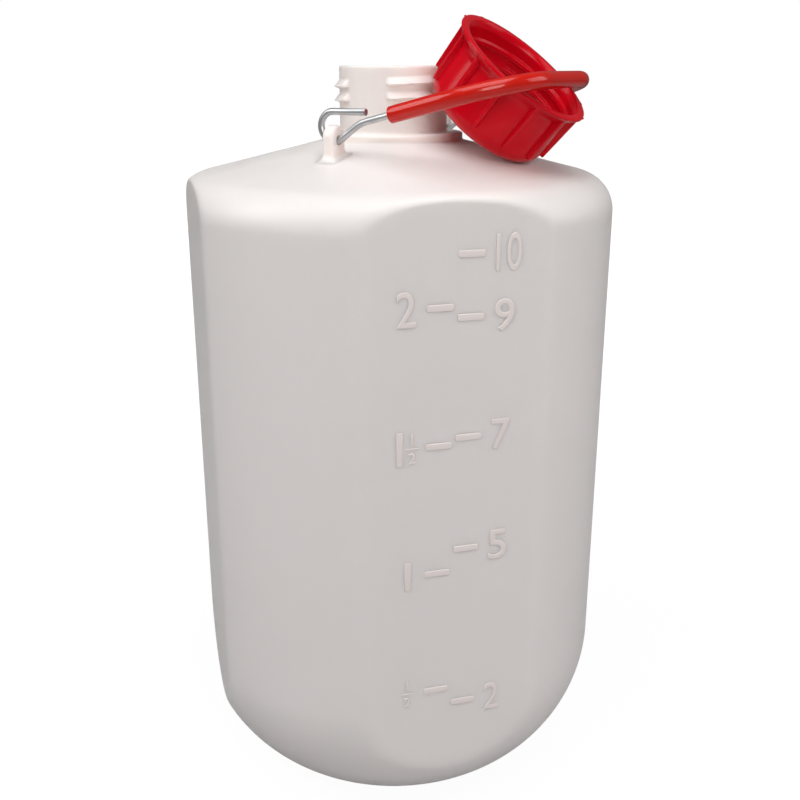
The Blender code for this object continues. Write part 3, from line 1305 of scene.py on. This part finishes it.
    def gather(self, name: str) -> Object:
        """Join what was made since the last call, and stand it on the panel.

        Args:
            name: The name of the result.

        Returns:
            The joined marks.
        """
        marks = join(self.made, name)
        settle(marks, self.panel())
        smooth(marks)
        self.made.clear()
        return marks


# Bail


@dataclass
class Bail:
    """The bent wire and the soft tube that is pushed over it as a grip."""

    axis_height: float = 0.353
    distance: float = 0.0565
    wire_radius: float = 0.0016
    hook_radius: float = 0.0067
    arm_length: float = 0.0178
    foot_length: float = 0.003
    foot_radius: float = 0.005
    knee: tuple[float, float] = (0.0145, 0.0017)
    knee_radius: float = 0.020
    slope: float = math.radians(14.1)
    reach: float = 0.0902
    corner_radius: float = 0.0365
    sleeve_radius: float = 0.0039
    sleeve_bore: float = 0.0020
    sleeve_start: float = 0.0308
    step: float = 0.0006
    corner_step: float = 0.0012
    sides: int = 28
    sleeve_sides: int = 40
    lip_softness: float = 0.00035
    cut_softness_share: float = 0.16
    cut_margin_share: float = 0.1
    wire_crease: float = math.radians(50)

    def point(self, x: float, z: float, side: int = -1) -> Vector:
        """Return a point in the plane of one leg, with its height counted from the turning axis."""
        return Vector((x, side * self.distance, self.axis_height + z))

    def leg_height(self, reach: float) -> float:
        """Return the height of the straight leg over the turning axis."""
        return self.knee[1] + (reach - self.knee[0]) * math.tan(self.slope)

    def round_trip(self, start: Sequence[Vector], corners: Sequence[Corner]) -> list[Vector]:
        """Follow one leg and half the bar, and come back along the other.

        Args:
            start: Points that lead the leg in.
            corners: Its corners from there to the middle of the bar.

        Returns:
            The whole path.
        """
        half = list(start) + rounded([Corner(start[-1]), *corners], self.corner_step)[1:-1]
        return half + [Vector((point.x, -point.y, point.z)) for point in reversed(half)]

    def bar_corners(self) -> list[Corner]:
        """Return the leg's last corner and the middle of the bar."""
        corner = self.point(self.reach, self.leg_height(self.reach))
        return [Corner(corner, self.corner_radius), Corner(Vector((corner.x, 0.0, corner.z)))]

    def wire_path(self) -> list[Vector]:
        """Draw the wire.

        Returns:
            Its centre line: arm, hook, foot, knee, leg and bar, and back.
        """
        hook = arc(self.point(0, 0), self.hook_radius, math.pi / 2, 3 * math.pi / 2, self.step)
        start = [self.point(self.arm_length, self.hook_radius), *hook]
        corners = [
            Corner(self.point(self.foot_length, -self.hook_radius), self.foot_radius),
            Corner(self.point(*self.knee), self.knee_radius),
            *self.bar_corners(),
        ]
        return self.round_trip(start, corners)

    def sleeve_path(self) -> list[Vector]:
        """Return the centre line of the sleeve."""
        start = self.point(self.sleeve_start, self.leg_height(self.sleeve_start))
        return self.round_trip([start], self.bar_corners())

    def build_wire(self, zinc: Material, cut: Material) -> Object:
        """Make the wire with its two cut ends.

        Args:
            zinc: The wire's own finish.
            cut: The finish of its bare ends.

        Returns:
            The wire.
        """
        wire = tube("bail_rod", self.wire_path(), self.wire_radius, self.sides, True)
        soften(wire, self.wire_radius * self.cut_softness_share, 2)
        wire.data.materials.append(zinc)
        wire.data.materials.append(cut)
        end = self.arm_length - self.wire_radius * self.cut_margin_share
        least = self.wire_radius**2
        for face in wire.data.polygons:
            is_end = face.center.x > end and face.normal.x > FACING and face.area > least
            face.material_index = int(is_end)
        smooth(wire, self.wire_crease)
        return wire

    def build_sleeve(self) -> Object:
        """Make the grip: an open tube with a thick wall and soft lips.

        Returns:
            The grip.
        """
        path = divided(self.sleeve_path(), lambda place: self.corner_step * 3)
        sleeve = tube("grip", path, self.sleeve_radius, self.sleeve_sides, False)
        wall = sleeve.modifiers.new("wall", "SOLIDIFY")
        wall.thickness = self.sleeve_radius - self.sleeve_bore
        wall.offset = -1
        apply_modifiers(sleeve)
        soften(sleeve, self.lip_softness)
        smooth(sleeve, HARD_EDGE)
        return sleeve


# Cap


@dataclass
class Cap:
    """The screw cap, drawn with its mouth up at height zero and then laid beside the neck."""

    bottle: Bottle
    radius: float = 0.0326
    height: float = 0.0348
    wall: float = 0.0018
    end_wall: float = 0.0035
    edge_radius: float = 0.009
    rim_radius: float = 0.0366
    rim_height: float = 0.0009
    rim_softness: float = 0.0004
    flare_height: float = 0.0046
    flare_radius: float = 0.0062
    mouth_radius: float = 0.0327
    mouth_depth: float = 0.0025
    elevation: float = math.radians(49.4)
    neck_clearance: float = 0.0004
    seat_gap: float = 0.0003
    steps: int = 240
    fine_step: float = 0.0006
    thread_step: float = 0.00024
    thread_height: float = 0.0014
    thread_width: float = 0.0040
    thread_pitch: float = 0.0066
    thread_drop: float = 0.0065
    thread_turns: float = 2.2
    thread_steepness: float = 1.6
    thread_fade_rate: float = 18.0
    rib_count: int = 12
    first_rib_angle: float = math.radians(15)
    rib_crest: float = 0.0356
    rib_low_crest: float = 0.0343
    rib_width: float = 0.0036
    rib_crest_share: float = 0.52
    rib_softness: float = 0.00045
    rib_edge_angle: float = math.radians(30)
    rib_edge_segments: int = 4
    rib_end_share: float = 0.49
    rib_end_segments: int = 10
    rib_step: float = 0.0002
    rib_end_reach: float = 0.0015
    rib_top_root: float = 0.0342
    corner_radius: float = 0.0373
    corner_depth: float = 0.0034
    corner_spread: float = 1.5
    liner_radius: float = 0.0279
    liner_thickness: float = 0.0018
    crease: float = math.radians(40)

    def place(self) -> Matrix:
        """Find where the cap lies: its round edge leans on the neck and sits on the shoulder.

        Returns:
            The cap's place and lean.
        """
        tilt = math.pi / 2 - self.elevation
        across = self.radius - self.edge_radius
        along = self.height - self.edge_radius
        leaning = self.bottle.neck_radius + self.neck_clearance + self.edge_radius
        x = leaning + across * math.cos(tilt) + along * math.sin(tilt)
        low_edge = x + across * math.cos(tilt) - along * math.sin(tilt)
        seat = self.bottle.cone_height(low_edge, -self.edge_radius - self.seat_gap)
        z = seat + across * math.sin(tilt) + along * math.cos(tilt)
        return Matrix.Translation((x, 0, z)) @ Matrix.Rotation(tilt, 4, "Y")

    def profile(self) -> list[Vector]:
        """Draw the cup.

        Returns:
            Its turned profile: up the inside, over the rim and down the outside.
        """
        inner = self.radius - self.wall
        floor = self.end_wall - self.height
        corners = [
            Corner(at(0, floor)),
            Corner(at(inner, floor), self.edge_radius - self.wall),
            Corner(at(inner, -self.mouth_depth), self.mouth_depth),
            Corner(at(self.mouth_radius, 0), self.rim_softness),
            Corner(at(self.rim_radius, 0), self.rim_softness),
            Corner(at(self.rim_radius, -self.rim_height), self.rim_softness),
            Corner(at(self.radius, -self.rim_height - self.flare_height), self.flare_radius),
            Corner(at(self.radius, -self.height), self.edge_radius),
            Corner(at(0, -self.height)),
        ]
        return divided(rounded(corners, self.fine_step), self.longest_step)

    def longest_step(self, place: Vector) -> float:
        """Return the longest step of the profile at a place: short where the thread is."""
        on_thread = abs(place.x - self.radius + self.wall) < self.rim_softness
        return self.thread_step if on_thread else self.edge_radius / 3

    def raise_thread(self, places: np.ndarray) -> np.ndarray:
        """Raise the thread inside the skirt.

        Args:
            places: The vertices of the turned cap.

        Returns:
            The places with the ridge raised.
        """
        angle, radius = polar(places)
        angle = angle / math.tau
        lift = np.zeros(len(places))
        for turn in range(math.ceil(self.thread_turns) + 1):
            wound = angle + turn
            middle = -self.thread_drop - wound * self.thread_pitch
            off = np.abs(places[:, 2] - middle) / (self.thread_width / 2)
            ridge = smooth_step((1 - off) * self.thread_steepness)
            start = smooth_step(wound * self.thread_fade_rate)
            end = smooth_step((self.thread_turns - wound) * self.thread_fade_rate)
            lift = np.maximum(lift, ridge * (start * end))
        lift *= np.abs(radius - self.radius + self.wall) < self.rim_softness / 5
        return widened(places, 1 - lift * self.thread_height / np.maximum(radius, MERGE_DISTANCE))

    def rib(self) -> Object:
        """Make a grip rib: a tapered bar, round at its lower end, that flares into a corner of the rim.

        Returns:
            The rib, at angle zero.
        """
        top = -self.rib_step
        bottom = self.edge_radius - self.rib_end_reach - self.height
        root = self.radius - self.wall / 2
        near = self.rib_step / 2
        rib = block(
            ((root + self.rib_crest) / 2, 0, (top + bottom) / 2),
            (self.rib_crest - root, self.rib_width, top - bottom),
        )
        bevel_edges(
            rib,
            self.rib_width * self.rib_end_share,
            self.rib_end_segments,
            lambda edge: every_vertex(edge, lambda co: co.z < bottom + near)
            and abs(edge.verts[0].co.y - edge.verts[1].co.y) < near,
        )
        depth = self.corner_depth
        while depth > 0:
            bpy.ops.mesh.select_all(action="SELECT")
            bpy.ops.mesh.bisect(plane_co=(0, 0, -depth), plane_no=(0, 0, 1))
            depth -= self.fine_step
        leave()
        shift_vertices(rib, self.shape_rib)
        edit(rib)
        bevel_edges(
            rib,
            self.rib_softness,
            self.rib_edge_segments,
            lambda edge: self.on_crest_border(edge, top - near),
        )
        leave()
        return rib

    def crest(self, depth: np.ndarray) -> np.ndarray:
        """Find how far the ribs' crests reach.

        Args:
            depth: Depths below the mouth.

        Returns:
            The crests' distance from the axis there.
        """
        length = self.height - self.edge_radius + self.rib_end_reach
        straight = self.rib_crest + (self.rib_low_crest - self.rib_crest) * depth / length
        flare = np.clip(1 - depth / self.corner_depth, 0, 1) ** 2
        return straight + flare * (self.corner_radius - self.rib_crest)

    def shape_rib(self, places: np.ndarray) -> np.ndarray:
        """Narrow a straight bar towards its crest, lean the crest in, and flare its upper end.

        Args:
            places: The bar's vertices.

        Returns:
            The shaped places.
        """
        root = self.radius - self.wall / 2
        share = (places[:, 0] - root) / (self.rib_crest - root)
        near_top = np.clip(1 + places[:, 2] / self.corner_depth, 0, 1)
        flare = near_top**2
        foot = root + near_top * (self.rib_top_root - root)
        shaped = places.copy()
        shaped[:, 0] = foot + share * (self.crest(-places[:, 2]) - foot)
        shaped[:, 1] *= (1 - share * (1 - self.rib_crest_share)) * (1 + flare * (self.corner_spread - 1))
        return shaped

    def on_crest_border(self, edge: bmesh.types.BMEdge, top: float) -> bool:
        """Tell whether an edge lies between the crest and a side of the rib, below its top.

        Args:
            edge: The edge.
            top: The height over which it isn't bevelled.

        Returns:
            Whether it is such an edge.
        """
        reach = [vertex.co.x - float(self.crest(np.array(-vertex.co.z))) for vertex in edge.verts]
        on_crest = min(reach) > -MERGE_DISTANCE
        bent = edge.calc_face_angle(0.0) > self.rib_edge_angle
        return on_crest and bent and not every_vertex(edge, lambda co: co.z > top)

    def ribs(self) -> Object:
        """Copy the first rib round the cap.

        Returns:
            The ring of ribs.
        """
        first = self.rib()
        settle(first, Matrix.Rotation(self.first_rib_angle, 4, "Z"))
        copies = [first]
        for index in range(1, self.rib_count):
            pick(first)
            bpy.ops.object.duplicate()
            copy = bpy.context.object
            settle(copy, Matrix.Rotation(math.tau * index / self.rib_count, 4, "Z"))
            copies.append(copy)
        return join(copies, "cap_ribs")

    def build_shell(self) -> Object:
        """Make the cap itself, with its ribs and its thread.

        Returns:
            The cap, in its place.
        """
        shell = turned("cap_shell", self.profile(), self.steps)
        shift_vertices(shell, self.raise_thread)
        boolean(shell, self.ribs(), Merger.ADD)
        settle(shell, self.place())
        smooth(shell, self.crease)
        return shell

    def build_liner(self) -> Object:
        """Make the sealing disc that lies in the closed end.

        Returns:
            The disc, in its place.
        """
        low = self.end_wall + self.seat_gap - self.height
        soft = self.liner_thickness / 4
        corners = [
            Corner(at(0, low)),
            Corner(at(self.liner_radius, low), soft),
            Corner(at(self.liner_radius, low + self.liner_thickness), soft),
            Corner(at(0, low + self.liner_thickness)),
        ]
        liner = turned("sealing_disc", rounded(corners, soft / 2), self.steps // 2)
        settle(liner, self.place())
        smooth(liner, self.crease)
        return liner


# Studio


@dataclass(frozen=True)
class Lamp:
    """A soft square lamp: where it hangs, its side in metres, its power in watts and its colour."""

    name: str
    place: tuple[float, float, float]
    size: float
    power: float
    colour: tuple[float, float, float] = (1.0, 1.0, 1.0)


@dataclass
class Studio:
    """A pale floor, soft lamps, a white backdrop and the camera."""

    camera_place: Vector = field(default_factory=lambda: Vector((0.2659, -0.4669, 0.380)))
    camera_forward: Vector = field(default_factory=lambda: Vector((-0.4646, 0.8279, -0.3142)))
    lens: float = 45.5
    clip_start: float = 0.01
    target: Vector = field(default_factory=lambda: Vector((0.0, 0.0, 0.2)))
    floor_size: float = 8.0
    floor_colour: Colour = (0.42, 0.42, 0.43, 1.0)
    floor_whitening: float = 0.85
    floor_glow: float = 1.12
    backdrop_start: float = 0.25
    backdrop_end: float = 0.9
    ambient: float = 0.11
    lamps: tuple[Lamp, ...] = (
        Lamp("overhead", (0.2, -0.3, 1.6), 1.2, 12.9),
        Lamp("front_right", (1.3, -1.1, 0.9), 0.9, 13.4, (1.0, 0.97, 0.955)),
        Lamp("high_left", (-0.7, -0.7, 1.0), 0.8, 7.2),
        Lamp("back_right", (1.2, 0.7, 0.9), 0.8, 4.0),
    )

    def camera(self) -> None:
        """Put the camera where the object is seen from, and make it the scene's."""
        bpy.ops.object.camera_add(location=self.camera_place)
        camera = bpy.context.object
        camera.rotation_euler = self.camera_forward.to_track_quat("-Z", "Y").to_euler()
        camera.data.lens = self.lens
        camera.data.clip_start = self.clip_start
        bpy.context.scene.camera = camera

    def hang(self, lamp: Lamp) -> None:
        """Hang a lamp so that it faces the object.

        Args:
            lamp: What to hang.
        """
        bpy.ops.object.light_add(type="AREA", location=lamp.place)
        hung = named(lamp.name)
        hung.data.shape = "SQUARE"
        hung.data.size = lamp.size
        hung.data.energy = lamp.power
        hung.data.color = lamp.colour
        hung.rotation_euler = (self.target - Vector(lamp.place)).to_track_quat("-Z", "Y").to_euler()

    def floor(self) -> None:
        """Lay the floor, which looks white to the camera and still takes the object's shadow near it."""
        bpy.ops.object.select_all(action="DESELECT")
        bpy.ops.mesh.primitive_plane_add(size=self.floor_size)
        floor = named("studio_floor")
        graph = Graph("studio_floor")
        graph.tree.nodes.remove(graph.shader)
        diffuse = graph.add("ShaderNodeBsdfDiffuse", {"Color": self.floor_colour})
        white = graph.add("ShaderNodeEmission", {"Strength": self.floor_glow})
        reach = graph.add("ShaderNodeVectorMath", {0: graph.coordinates}, operation="LENGTH")
        backdrop = (self.backdrop_start, self.backdrop_end)
        whiteness = graph.ramp(reach.outputs["Value"], backdrop, (self.floor_whitening, 1.0))
        seen = graph.add("ShaderNodeLightPath").outputs["Is Camera Ray"]
        share = graph.add("ShaderNodeMath", {0: whiteness, 1: seen}, operation="MULTIPLY")
        mix = graph.add(
            "ShaderNodeMixShader",
            {0: share.outputs["Value"], 1: diffuse.outputs["BSDF"], 2: white.outputs["Emission"]},
        )
        graph.feed(graph.tree.nodes["Material Output"].inputs["Surface"], mix.outputs["Shader"])
        floor.data.materials.append(graph.material)

    def world(self) -> None:
        """Fill the studio with faint even light, and make it white where the camera sees it itself."""
        world = bpy.data.worlds.new("studio")
        bpy.context.scene.world = world
        world.use_nodes = True
        tree = world.node_tree
        light = tree.nodes["Background"]
        light.inputs["Color"].default_value = WHITE
        light.inputs["Strength"].default_value = self.ambient
        white = tree.nodes.new("ShaderNodeBackground")
        white.inputs["Color"].default_value = WHITE
        path = tree.nodes.new("ShaderNodeLightPath")
        seen = tree.nodes.new("ShaderNodeMath")
        seen.operation = "MAXIMUM"
        mix = tree.nodes.new("ShaderNodeMixShader")
        tree.links.new(path.outputs["Is Camera Ray"], seen.inputs[0])
        tree.links.new(path.outputs["Is Transmission Ray"], seen.inputs[1])
        tree.links.new(seen.outputs["Value"], mix.inputs["Fac"])
        tree.links.new(light.outputs["Background"], mix.inputs[1])
        tree.links.new(white.outputs["Background"], mix.inputs[2])
        tree.links.new(mix.outputs["Shader"], tree.nodes["World Output"].inputs["Surface"])

    def build(self) -> None:
        """Set up the whole studio."""
        bpy.context.scene.view_settings.view_transform = "Standard"
        self.camera()
        self.floor()
        self.world()
        for lamp in self.lamps:
            self.hang(lamp)


def main() -> None:
    """Build and dress the carboy."""
    logging.basicConfig(level=logging.INFO, format="%(message)s")
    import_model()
    Studio().build()

    natural = NaturalPlastic().build()
    bottle = Bottle()
    dress(bottle.build(), natural, Slot.NATURAL, Body.BOTTLE, "bottle")
    for side in (-1, 1):
        dress(Lug(bottle, side).build(), natural, Slot.NATURAL, Body.BOTTLE)
    raised = NaturalPlastic(
        name="raised_polyethylene",
        colour=(0.80, 0.725, 0.70, 1.0),
        cloud=(0.78, 0.715, 0.69, 1.0),
        milkiness=0.0,
    ).build()
    for marks in Marks(bottle).build():
        dress(marks, raised, Slot.NATURAL, Body.BOTTLE)

    bail = Bail()
    zinc = ZincWire().build()
    dress(bail.build_wire(zinc, CutSteel().build()), zinc, Slot.WIRE, Body.BAIL, "bail_wire")
    sleeve_red = RedPlastic(
        name="red_vinyl",
        colour=(0.58, 0.012, 0.006, 1.0),
        shade=(0.54, 0.010, 0.005, 1.0),
        roughness=(0.12, 0.18),
        gloss=0.42,
    )
    dress(bail.build_sleeve(), sleeve_red.build(), Slot.SLEEVE, Body.BAIL, "grip_sleeve")

    cap = Cap(bottle)
    cap_red = RedPlastic(
        name="red_moulded_plastic",
        colour=(0.60, 0.002, 0.011, 1.0),
        shade=(0.55, 0.001, 0.009, 1.0),
        roughness=(0.13, 0.20),
        gloss=0.16,
    )
    dress(cap.build_shell(), cap_red.build(), Slot.CAP, Body.CAP, "screw_cap")
    dress(cap.build_liner(), LinerFoam().build(), Slot.LINER, Body.CAP, "cap_liner")


if __name__ == "__main__":
    main()
